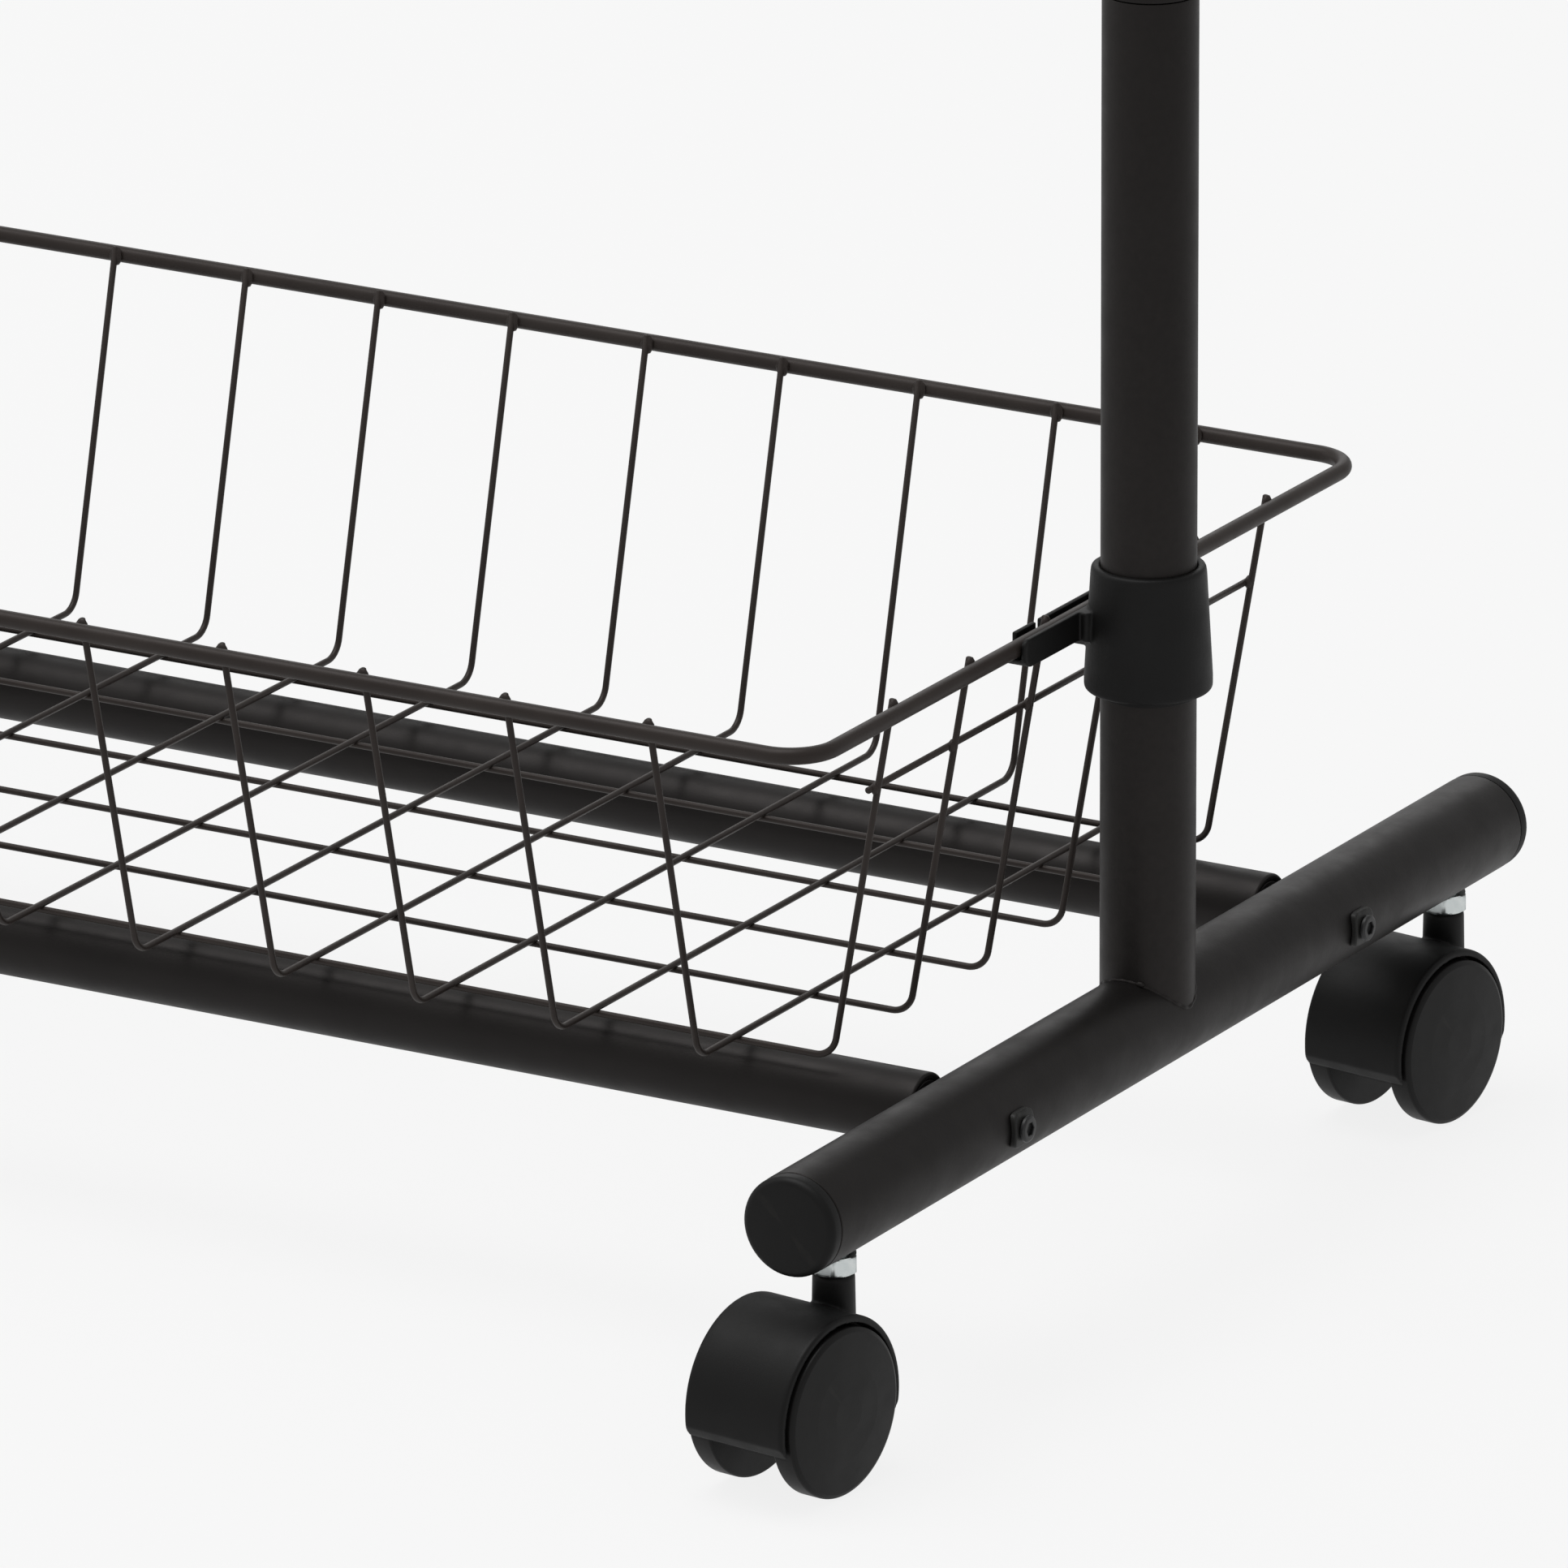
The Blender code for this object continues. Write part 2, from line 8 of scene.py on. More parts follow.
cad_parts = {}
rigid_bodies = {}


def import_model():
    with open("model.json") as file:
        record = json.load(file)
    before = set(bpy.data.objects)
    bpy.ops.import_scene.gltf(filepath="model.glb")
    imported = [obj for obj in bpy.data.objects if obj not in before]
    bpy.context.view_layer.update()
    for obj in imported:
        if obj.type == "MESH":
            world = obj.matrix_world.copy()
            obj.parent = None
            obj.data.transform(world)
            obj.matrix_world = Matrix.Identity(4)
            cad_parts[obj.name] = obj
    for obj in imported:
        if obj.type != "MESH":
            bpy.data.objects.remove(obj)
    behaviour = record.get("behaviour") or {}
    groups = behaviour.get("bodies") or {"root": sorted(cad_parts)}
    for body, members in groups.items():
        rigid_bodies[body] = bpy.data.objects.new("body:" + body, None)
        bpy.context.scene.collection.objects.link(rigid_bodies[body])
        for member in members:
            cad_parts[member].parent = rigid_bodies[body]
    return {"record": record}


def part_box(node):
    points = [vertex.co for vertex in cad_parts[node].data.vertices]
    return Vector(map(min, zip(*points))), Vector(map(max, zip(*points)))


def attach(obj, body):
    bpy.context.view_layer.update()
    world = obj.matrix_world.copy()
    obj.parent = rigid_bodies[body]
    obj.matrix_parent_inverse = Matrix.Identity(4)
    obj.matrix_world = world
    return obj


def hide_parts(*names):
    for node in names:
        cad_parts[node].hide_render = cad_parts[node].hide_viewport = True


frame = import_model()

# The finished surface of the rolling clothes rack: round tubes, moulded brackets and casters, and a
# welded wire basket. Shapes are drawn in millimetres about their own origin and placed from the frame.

MM = 0.001
SIDES = {"right": 1, "left": -1}
ENDS = {"front": -1, "rear": 1}

# Smoothness
ROUND = 72
BAR_SIDES = 14
RIM_SIDES = 20
CORNER_STEPS = 6
BEND_STEPS = 10
RIM_CORNER_STEPS = 14
SHARP_ANGLE = math.radians(40)
VOXEL = 0.42
SMOOTHING = 4

# Tubes
WALL = 1.2
LEG_R = 15.0
POST_R = 14.0
CROSS_R = 11.0
RAIL_R = 12.5
TURNED_END = 2.1
EDGE_R = 0.45
TURNED_EDGE_R = 1.0
GAP = 0.3
CAP_DOME = 5.55
CAP_PLUG = 12.0

# The weld round each post's foot
WELD_R = 0.8
WELD_SIDES = 10
WELD_INSET = 0.45
WELD_RIPPLE = 0.12
WELD_RIPPLES = 26
WELD_END_ANGLE = math.radians(290)
WELD_END_RISE = 0.5
WELD_END_RADII = (1.5, 1.0, 1.0)

# Bolts through the legs
BOLT_R = 3.0
BOLT_HEAD_R = 3.95
BOLT_HEAD = 1.35
BOLT_TIP = -42.0
BOLT_THREAD_END = -20.0
SOCKET_R = 2.1
WASHER = 1.6
WASHER_HALF_LENGTH = 5.3
WASHER_HALF_HEIGHT = 5.5
WASHER_SQUARENESS = 5
WASHER_BORE_R = 3.4

# Casters
WHEEL_R = 25.0
HOOD_R = 28.1
HOOD_INNER_R = 25.9
HOOD_HALF = 17.35
HOOD_LIP = 2.1
HOOD_OUTER_END = -7.0
HOOD_INNER_END = -17.0
WEB_HALF = 1.7
AXLE_R = 3.0
AXLE_HALF = 13.5
AXLE_BORE_R = 3.3
HUB_R = 8.0
HUB_BORE_R = 3.1
HUB_FACE = 2.2
HUB_END = 14.0
TREAD_FACE = 11.2
DISC_FACE = 20.15
NECK_R = 6.1
NECK_LOW = 36.0
NECK_DROP = 6.0
HEX_R = 7.5
HEX_HEIGHT = 5.4
STEM_R = 4.0
STEM_TIP_R = 3.4
STEM_PIN = 15.6
PIN_BORE_R = 4.15
PIN_BORE_DEPTH = 10.4

# Basket
RIM_R = 2.5
RIM_CORNER = 14.0
WIRE_R = 1.0
BEND_R = 7.0
STUB_RISE = 2.9
FLOOR_DROP = 106.6
FLOOR_HALF_WIDTH = 134.0
FLOOR_END_INSET = 22.9
LAST_CROSS_WIRE_INSET = 54.3
CROSS_WIRES = 16
LONG_WIRES = 6
LONG_PITCH = 44.4
WELD_SINK = 0.5
RIM_BEAD_SHORT = 1.4
RIM_BEAD_LONG = 2.2
RIM_BEAD_HIGH = 3.2
END_BEAD_RADII = (1.3, 2.2, 2.2)
END_WIRE_DROP = 24.5
END_WIRE_OVERHANG = 3.0

# Basket brackets, measured from the height of the rim's centre
COLLAR_LOW = -21.2
COLLAR_TOP = 16.3
COLLAR_LOW_R = 18.7
COLLAR_TOP_R = 16.6
SLEEVE_LOW = -23.0
SLEEVE_TOP = COLLAR_TOP - 3.0
SLEEVE_GAP = 0.15
SLEEVE_SLIT = 2.4
HOOK_HALF = 47.0
HOOK_FLOOR = -RIM_R - GAP
HOOK_UNDER = HOOK_FLOOR - 2.5
NEAR_TOP = 3.4
FAR_TOP = 1.5
FAR_HALF = 35.5
NEAR_WALL = 1.7
FAR_WALL = 1.6
WING_CORNER = 6.0
WING_BLEND_R = 1.6
NOTCH_HALF = 1.5

# Rail corners
CORNER_R = 16.4
CORNER_DROP = 62.0
LEVEL_R = 15.2
LEVEL_REACH = 48.0
RAIL_STOP = 13.7

# Reflections: the coat on the metal tints them slightly warm
SHINE = 0.28
DULL_SHINE = 0.22
NEUTRAL = (1.0, 1.0, 1.0)
WARM = (1.0, 0.93, 0.91)

# Studio, in metres
FLOOR_HALF = 60.0
FLOOR_GAP = 0.0006
LIT_AIM = (0.35, 0, 0.4)

# View, in metres, degrees and millimetres of lens
CAMERA_PLACE = (2.89762, -4.46409, 1.84597)
CAMERA_AZIMUTH = 30.069
CAMERA_ELEVATION = 18.351
CAMERA_ROLL = -0.191
LENS = 426.4
SENSOR = 36.0


def middle(node):
    low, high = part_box(node)
    return (low + high) / 2


def extent(node):
    """The size of a node's box, in millimetres."""
    low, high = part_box(node)
    return (high - low) / MM


def body_with(node):
    for body, nodes in frame["record"]["behaviour"]["bodies"].items():
        if node in nodes:
            return body
    raise KeyError(node)


def joint(name):
    for entry in frame["record"]["behaviour"]["joints"]:
        if entry["name"] == name:
            return entry
    raise KeyError(name)


# Outlines


def fillet(corners, steps=CORNER_STEPS):
    """The outline through corners (a, b, radius), with each corner rounded to its radius."""
    points = []
    for i, (a, b, radius) in enumerate(corners):
        if radius == 0:
            points.append((a, b))
            continue
        here = Vector((a, b))
        back = Vector(corners[i - 1][:2]) - here
        onward = Vector(corners[(i + 1) % len(corners)][:2]) - here
        half = back.angle(onward) / 2
        reach = min(radius / math.tan(half), 0.495 * back.length, 0.495 * onward.length)
        back.normalize()
        onward.normalize()
        centre = here + (back + onward).normalized() * reach / math.cos(half)
        start = here + back * reach - centre
        finish = here + onward * reach - centre
        sweep_angle = math.atan2(start.x * finish.y - start.y * finish.x, start.dot(finish))
        for step in range(steps + 1):
            arm = Matrix.Rotation(sweep_angle * step / steps, 2) @ start
            points.append(tuple(centre + arm))
    return points


def arc(centre, radius, start, end, steps):
    points = []
    for i in range(steps + 1):
        angle = math.radians(start + (end - start) * i / steps)
        points.append((centre[0] + radius * math.cos(angle), centre[1] + radius * math.sin(angle)))
    return points


def circle(radius, height, count=ROUND):
    points = arc((0, 0), radius, 0, 360, count)[:-1]
    return [(x, y, height) for x, y in points]


def hexagon(circumradius, height, limit=None, count=ROUND):
    """A six-sided ring whose corners are cut back to the limit radius."""
    points = []
    for i in range(count):
        angle = 2 * math.pi * i / count
        across = (angle + math.pi / 6) % (math.pi / 3) - math.pi / 6
        from_flat = across - math.copysign(math.pi / 6, across)
        radius = circumradius * math.cos(math.pi / 6) / math.cos(from_flat)
        radius = min(radius, limit or circumradius)
        points.append((radius * math.cos(angle), radius * math.sin(angle), height))
    return points


# Shells: each is a pair of points and faces, in millimetres


def skin(rings, closed=False, capped=False):
    """A surface over rings of points. A ring of one point closes an end."""
    points = [point for ring in rings for point in ring]
    numbers = []
    start = 0
    for ring in rings:
        numbers.append(range(start, start + len(ring)))
        start += len(ring)
    pairs = list(zip(numbers, numbers[1:]))
    if closed:
        pairs.append((numbers[-1], numbers[0]))
    faces = []
    for low, high in pairs:
        count = max(len(low), len(high))
        for step in range(count):
            after = (step + 1) % count
            below = [low[step % len(low)], low[after % len(low)]]
            above = [high[after % len(high)], high[step % len(high)]]
            loop = below + above
            loop = [number for i, number in enumerate(loop) if number not in loop[:i]]
            if len(loop) > 2:
                faces.append(loop)
    if capped:
        faces.append(list(numbers[0])[::-1])
        faces.append(list(numbers[-1]))
    return points, faces


def turned(profile, count=ROUND):
    """A ring about Z for each (radius, height), or a single point where the radius is 0."""
    return [circle(r, h, count) if r > 0 else [(0, 0, h)] for r, h in profile]


def revolve(profile, count=ROUND):
    """A (radius, height) profile turned about Z, a closed loop unless it starts and ends at radius 0."""
    return skin(turned(profile, count), closed=profile[0][0] > 0)


def pipe(radius, low, high, wall=WALL, edge=EDGE_R):
    """A tube along Z with softened ends."""
    inner = radius - wall
    corners = [(inner, low, edge), (radius, low, edge)]
    corners += [(radius, high, edge), (inner, high, edge)]
    return revolve(fillet(corners))


def rod(radius, half, edge=0.4):
    return revolve(fillet([(0, -half, 0), (radius, -half, edge), (radius, half, edge), (0, half, 0)]))


def turned_to_x(point):
    return (point[2], point[0], point[1])


def prism(outline, low, high, axis="Z"):
    """A flat outline pushed from low to high. Along X, the outline is in Y and Z."""
    rings = [[(a, b, h) for a, b in outline] for h in (low, high)]
    if axis == "X":
        rings = [[turned_to_x(point) for point in ring] for ring in rings]
    return skin(rings, capped=True)


def block(low, high):
    outline = [(low[0], low[1]), (high[0], low[1]), (high[0], high[1]), (low[0], high[1])]
    return prism(outline, low[2], high[2])


def sweep(path, references, radius, sides=BAR_SIDES, closed=False):
    """A round bar along a path, with softened ends. Each reference is roughly square to the path."""
    places = [Vector(point) for point in path]
    count = len(places)
    rings = []
    for i, here in enumerate(places):
        before = places[i - 1] if closed or i > 0 else here
        after = places[(i + 1) % count] if closed or i < count - 1 else here
        along = (after - before).normalized()
        side = along.cross(references[i]).normalized()
        up = side.cross(along)
        spans = [(radius, 0)]
        if not closed and i in (0, count - 1):
            way = -1 if i == 0 else 1
            spans += [(0.8 * radius, 0.25 * way * radius), (0.4 * radius, 0.35 * way * radius)]
            if i == 0:
                spans.reverse()
        for reach, shift in spans:
            ring = []
            for step in range(sides):
                angle = 2 * math.pi * step / sides
                arm = side * math.cos(angle) + up * math.sin(angle)
                ring.append(tuple(here + along * shift + reach * arm))
            rings.append(ring)
    return skin(rings, closed=closed, capped=not closed)


def bead(centre, radii, turn=0.0, rows=6, count=12):
    """A small uneven lump of weld."""
    rings = []
    for row in range(rows + 1):
        lean = math.pi * row / rows
        ring = []
        for step in range(1 if row in (0, rows) else count):
            angle = turn + 2 * math.pi * step / count
            swell = 1 + 0.06 * math.sin(3 * angle + 2 * lean)
            x = centre[0] + radii[0] * swell * math.sin(lean) * math.cos(angle)
            y = centre[1] + radii[1] * swell * math.sin(lean) * math.sin(angle)
            ring.append((x, y, centre[2] + radii[2] * math.cos(lean)))
        rings.append(ring)
    return skin(rings)


def mesh_of(*shells):
    """One mesh in metres from shells in millimetres, with every shell's faces turned outwards."""
    mesh = bpy.data.meshes.new("piece")
    body = bmesh.new()
    for points, faces in shells:
        corners = [body.verts.new(Vector(point) * MM) for point in points]
        for face in faces:
            body.faces.new([corners[number] for number in face])
    bmesh.ops.recalc_face_normals(body, faces=body.faces)
    body.to_mesh(mesh)
    body.free()
    return mesh


def moulded(adds, cuts, voxel=VOXEL):
    """Shells joined, then others cut away, with every edge and inner corner softened as in a moulding."""
    base = bpy.data.objects.new("moulding", mesh_of(adds[0]))
    bpy.context.scene.collection.objects.link(base)
    groups = []
    for operation, shells in (("UNION", adds[1:]), ("DIFFERENCE", cuts)):
        group = bpy.data.collections.new(operation)
        bpy.context.scene.collection.children.link(group)
        groups.append(group)
        for shell in shells:
            group.objects.link(bpy.data.objects.new(operation, mesh_of(shell)))
        change = base.modifiers.new(operation, "BOOLEAN")
        change.operation = operation
        change.solver = "EXACT"
        change.operand_type = "COLLECTION"
        change.collection = group
    remesh = base.modifiers.new("remesh", "REMESH")
    remesh.mode = "VOXEL"
    remesh.voxel_size = voxel * MM
    soften = base.modifiers.new("soften", "SMOOTH")
    soften.factor = 0.5
    soften.iterations = SMOOTHING
    bpy.context.view_layer.update()
    graph = bpy.context.evaluated_depsgraph_get()
    mesh = bpy.data.meshes.new_from_object(base.evaluated_get(graph))
    for group in groups:
        for helper in list(group.objects):
            bpy.data.objects.remove(helper, do_unlink=True)
        bpy.data.collections.remove(group)
    bpy.data.objects.remove(base, do_unlink=True)
    return mesh


def place(node, mesh, look, at, turn=None):
    """Puts a piece where its CAD node is, on the same body, with the finish of its material slot.

    The turn goes into the mesh, so that the piece's box stays square to the world.
    """
    slot, surface = look
    own = mesh.copy()
    own.transform((turn or Matrix()).to_4x4())
    own.materials.clear()
    own.materials.append(surface)
    for face in own.polygons:
        face.use_smooth = True
    own.set_sharp_from_angle(angle=SHARP_ANGLE)
    piece = bpy.data.objects.new(f"{node}_finish", own)
    bpy.context.scene.collection.objects.link(piece)
    piece.location = at
    bpy.context.view_layer.update()
    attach(piece, body_with(node))
    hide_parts(node)
    return piece


def about_z(degrees):
    return Matrix.Rotation(math.radians(degrees), 3, "Z")


def z_along(direction):
    return Vector(direction).to_track_quat("Z", "Y").to_matrix()


# Finishes


def new_material(name):
    made = bpy.data.materials.new(name)
    made.use_nodes = True
    tree = made.node_tree
    return made, tree, tree.nodes["Principled BSDF"]


def noise(tree, scale, detail, roughness=0.5):
    where = tree.nodes.new("ShaderNodeTexCoord")
    texture = tree.nodes.new("ShaderNodeTexNoise")
    texture.inputs["Scale"].default_value = scale
    texture.inputs["Detail"].default_value = detail
    texture.inputs["Roughness"].default_value = roughness
    tree.links.new(where.outputs["Object"], texture.inputs["Vector"])
    return texture.outputs["Fac"]


def remap(tree, value, low, high, start=0.3, stop=0.7):
    spread = tree.nodes.new("ShaderNodeMapRange")
    spread.inputs["From Min"].default_value = start
    spread.inputs["From Max"].default_value = stop
    spread.inputs["To Min"].default_value = low
    spread.inputs["To Max"].default_value = high
    tree.links.new(value, spread.inputs["Value"])
    return spread.outputs["Result"]


def blend_colours(tree, value, first, second):
    mix = tree.nodes.new("ShaderNodeMix")
    mix.data_type = "RGBA"
    mix.inputs["A"].default_value = (*first, 1)
    mix.inputs["B"].default_value = (*second, 1)
    tree.links.new(value, mix.inputs["Factor"])
    return mix.outputs["Result"]


def add_relief(tree, shader, layers):
    """Bumps laid over one another. Each layer is (height, depth in millimetres, strength)."""
    normal = None
    for height, depth, strength in layers:
        bump = tree.nodes.new("ShaderNodeBump")
        bump.inputs["Strength"].default_value = strength
        bump.inputs["Distance"].default_value = depth * MM
        tree.links.new(height, bump.inputs["Height"])
        if normal:
            tree.links.new(normal, bump.inputs["Normal"])
        normal = bump.outputs["Normal"]
    tree.links.new(normal, shader.inputs["Normal"])


def worn_edges(tree, amount):
    """High on outer edges, broken up by a fine noise."""
    geometry = tree.nodes.new("ShaderNodeNewGeometry")
    edge = remap(tree, geometry.outputs["Pointiness"], 0.0, amount, 0.53, 0.62)
    product = tree.nodes.new("ShaderNodeMath")
    product.operation = "MULTIPLY"
    tree.links.new(edge, product.inputs[0])
    tree.links.new(remap(tree, noise(tree, 400, 3), 0.4, 1.0), product.inputs[1])
    return product.outputs["Value"]


def black_finish(name, dark, light, worn, rough, grain, depth, specular=SHINE, sheen=NEUTRAL):
    """A black coat or plastic: mottled colour, uneven gloss, a fine grain and lighter worn edges."""
    made, tree, shader = new_material(name)
    mottle = blend_colours(tree, remap(tree, noise(tree, 35, 4), 0, 1), dark, light)
    edge = tree.nodes.new("ShaderNodeMix")
    edge.data_type = "RGBA"
    edge.inputs["B"].default_value = (*worn, 1)
    tree.links.new(mottle, edge.inputs["A"])
    tree.links.new(worn_edges(tree, 0.7), edge.inputs["Factor"])
    tree.links.new(edge.outputs["Result"], shader.inputs["Base Color"])
    gloss = remap(tree, noise(tree, 90, 5, 0.6), rough - 0.05, rough + 0.06)
    tree.links.new(gloss, shader.inputs["Roughness"])
    fine = noise(tree, grain, 3)
    broad = noise(tree, grain / 6, 2)
    add_relief(tree, shader, [(broad, depth * 2, 0.25), (fine, depth, 0.5)])
    shader.inputs["Specular IOR Level"].default_value = specular
    shader.inputs["Specular Tint"].default_value = (*sheen, 1)
    return made


def zinc_finish():
    """Bright zinc plate with a faint cloudiness and fine turning marks."""
    made, tree, shader = new_material("zinc_plate_finish")
    cloud = remap(tree, noise(tree, 260, 5, 0.65), 0, 1)
    tint = blend_colours(tree, cloud, (0.74, 0.80, 0.80), (0.86, 0.90, 0.89))
    tree.links.new(tint, shader.inputs["Base Color"])
    tree.links.new(remap(tree, noise(tree, 500, 4), 0.26, 0.42), shader.inputs["Roughness"])
    marks = tree.nodes.new("ShaderNodeTexWave")
    marks.bands_direction = "Z"
    marks.inputs["Scale"].default_value = 600
    marks.inputs["Distortion"].default_value = 1.5
    where = tree.nodes.new("ShaderNodeTexCoord")
    tree.links.new(where.outputs["Object"], marks.inputs["Vector"])
    add_relief(tree, shader, [(marks.outputs["Fac"], 0.03, 0.2), (noise(tree, 900, 2), 0.03, 0.3)])
    shader.inputs["Metallic"].default_value = 1.0
    return made


def make_finishes():
    """Each material slot's finish. Colours are linear, and depth is the grain's, in millimetres."""
    steel = black_finish(
        "powder_coat_finish",
        dark=(0.0050, 0.0046, 0.0044),
        light=(0.0080, 0.0073, 0.0069),
        worn=(0.017, 0.015, 0.014),
        rough=0.45,
        grain=1500,
        depth=0.05,
        sheen=WARM,
    )
    wire = black_finish(
        "wire_coat_finish",
        dark=(0.022, 0.017, 0.015),
        light=(0.032, 0.026, 0.023),
        worn=(0.038, 0.031, 0.028),
        rough=0.42,
        grain=2200,
        depth=0.03,
        sheen=WARM,
    )
    plastic = black_finish(
        "moulded_plastic_finish",
        dark=(0.0042, 0.0041, 0.0042),
        light=(0.0062, 0.0060, 0.0058),
        worn=(0.013, 0.012, 0.011),
        rough=0.5,
        grain=2600,
        depth=0.04,
        specular=DULL_SHINE,
    )
    wheel = black_finish(
        "wheel_plastic_finish",
        dark=(0.0042, 0.0040, 0.0040),
        light=(0.0060, 0.0057, 0.0055),
        worn=(0.012, 0.011, 0.010),
        rough=0.42,
        grain=3200,
        depth=0.02,
        specular=DULL_SHINE,
    )
    washer = black_finish(
        "washer_coat_finish",
        dark=(0.010, 0.010, 0.0095),
        light=(0.016, 0.016, 0.015),
        worn=(0.035, 0.034, 0.032),
        rough=0.42,
        grain=2000,
        depth=0.04,
    )
    bolt = black_finish(
        "black_oxide_finish",
        dark=(0.010, 0.010, 0.011),
        light=(0.018, 0.018, 0.018),
        worn=(0.05, 0.05, 0.05),
        rough=0.34,
        grain=2400,
        depth=0.02,
        specular=0.45,
    )
    return {
        "steel": ("steel", steel),
        "wire": ("wire", wire),
        "moulded": ("moulded", plastic),
        "wheel": ("wheel", wheel),
        "washer": ("washer", washer),
        "bolt": ("bolt", bolt),
        "zinc": ("zinc", zinc_finish()),
    }


# Tubes


def saddle_height(radius, angle):
    """How high a ring on an upright tube sits where it rests on the leg below."""
    across = radius * math.cos(angle)
    return math.sqrt(LEG_R**2 - across**2)


def lower_post(top):
    """The foot is cut to the leg's curve. Its origin is on the leg's axis."""
    rings = []
    for radius, high in ((POST_R - WALL, False), (POST_R, False), (POST_R, True), (POST_R - WALL, True)):
        ring = []
        for step in range(ROUND):
            angle = 2 * math.pi * step / ROUND
            height = top if high else saddle_height(radius, angle)
            ring.append((radius * math.cos(angle), radius * math.sin(angle), height))
        rings.append(ring)
    eased = [[(x * 0.985, y * 0.985, top) for x, y, _ in rings[2]]]
    shoulder = [(x, y, top - EDGE_R) for x, y, _ in rings[2]]
    return skin([rings[0], rings[1], shoulder] + eased + [rings[3]], closed=True)


def foot_weld():
    """A low uneven fillet of weld where the post stands on the leg."""
    path = []
    references = []
    count = 2 * ROUND
    for step in range(count):
        angle = 2 * math.pi * step / count
        radius = POST_R - WELD_INSET + WELD_RIPPLE * math.sin(WELD_RIPPLES * angle)
        path.append((radius * math.cos(angle), radius * math.sin(angle), saddle_height(POST_R, angle) + 0.1))
        references.append(Vector((math.cos(angle), math.sin(angle), 0.4)))
    return sweep(path, references, WELD_R, WELD_SIDES, closed=True)


def weld_end():
    """The small lump where the weld was finished, at the post's front."""
    height = saddle_height(POST_R, WELD_END_ANGLE) + WELD_END_RISE
    centre = (POST_R * math.cos(WELD_END_ANGLE), POST_R * math.sin(WELD_END_ANGLE), height)
    return bead(centre, WELD_END_RADII)


def tube_insert(half):
    """The plug in a cross tube's end that a leg's bolt screws into."""
    bore = BOLT_R + GAP
    radius = CROSS_R - TURNED_END - 0.05
    return revolve(fillet([(bore, -half, 0.2), (radius, -half, 0.5), (radius, half, 0.5), (bore, half, 0.2)]))


def leg_cap():
    """A push-in plug whose rounded face stands proud of the tube's end, made pointing along +Z."""
    plug = LEG_R - WALL - 0.4
    corners = [(0, -CAP_PLUG, 0), (plug - 1, -CAP_PLUG, 0.3), (plug, 1.5 - CAP_PLUG, 0.5)]
    corners += [(plug, GAP, 0), (LEG_R - 0.1, GAP, 0.15), (LEG_R - 0.05, CAP_DOME - 0.3, 2.3)]
    corners += [(6, CAP_DOME - 0.1, 3.0), (0, CAP_DOME, 0)]
    return revolve(fillet(corners))


def thread(radius, low, high, pitch=1.25, depth=0.45):
    """The profile of a threaded stretch, as (radius, height) points."""
    points = []
    turns = int((high - low) / pitch)
    for i in range(turns):
        height = low + i * pitch
        points += [(radius - depth, height), (radius, height + pitch / 2)]
    return points


def bolt():
    """A low socket-head bolt, made pointing along +Z with its head uppermost."""
    head = LEG_R + WASHER + 2 * GAP
    top = head + BOLT_HEAD
    shank = [(0, BOLT_TIP), (BOLT_R - 0.8, BOLT_TIP)]
    shank += thread(BOLT_R, BOLT_TIP + 1, BOLT_THREAD_END)
    shank += [(BOLT_R - 0.1, BOLT_THREAD_END + 1), (BOLT_R - 0.1, head)]
    outside = [(BOLT_HEAD_R - 0.3, head, 0), (BOLT_HEAD_R, head + 0.1, 0.1)]
    outside += [(BOLT_HEAD_R - 0.05, top - 0.4, 0.4), (BOLT_HEAD_R - 0.7, top - 0.05, 0.4)]
    outside.append((SOCKET_R + 0.45, top, 0))
    rings = turned(shank + fillet(outside))
    rings += [hexagon(SOCKET_R + 0.2, top), hexagon(SOCKET_R, top - 0.2), hexagon(SOCKET_R, head + 0.4)]
    rings.append([(0, 0, head + 0.1)])
    return skin(rings)


def washer_ring(reach, height):
    """A rounded rectangle of the given reach, bent round the leg, or the bolt hole where reach is None."""
    power = WASHER_SQUARENESS
    points = []
    for step in range(ROUND):
        angle = 2 * math.pi * step / ROUND
        across = math.cos(angle)
        upward = math.sin(angle)
        radius = WASHER_BORE_R
        if reach:
            flat = abs(across / WASHER_HALF_LENGTH) ** power
            flat += abs(upward / WASHER_HALF_HEIGHT) ** power
            radius = reach * flat ** (-1 / power)
        lean = radius * upward / (LEG_R + height)
        outward = LEG_R + height
        points.append((outward * math.cos(lean), radius * across, outward * math.sin(lean)))
    return points


def saddle_washer():
    """A curved plate bedded on the leg, made for the +X side."""
    stages = [(None, 0.3), (1.0, 0.3), (1.0, 1.3), (0.985, 1.65), (0.95, 1.85), (0.90, 1.9), (None, 1.9)]
    return skin([washer_ring(reach, height) for reach, height in stages], closed=True)


# Casters


def caster_stem(leg_z):
    """A chamfered hexagon, a threaded shank above it and a plain pin below. Its origin is on the floor."""
    under = leg_z - LEG_R - GAP
    low = under - HEX_HEIGHT
    tip = under - STEM_PIN
    rings = turned([(0, tip), (STEM_TIP_R, tip), (STEM_R, tip + 0.7), (STEM_R, low)])
    rings += [hexagon(HEX_R, low, 6.4), hexagon(HEX_R, low + 0.45, 7.1), hexagon(HEX_R, low + 0.9)]
    rings += [hexagon(HEX_R, under - 0.7), hexagon(HEX_R, under - 0.3, 7.1), hexagon(HEX_R, under, 6.5)]
    rings += turned([(STEM_R, under)] + thread(STEM_R, under + 0.5, leg_z - 3))
    rings += turned([(STEM_R - 0.8, leg_z - 2), (0, leg_z - 2)])
    return skin(rings)


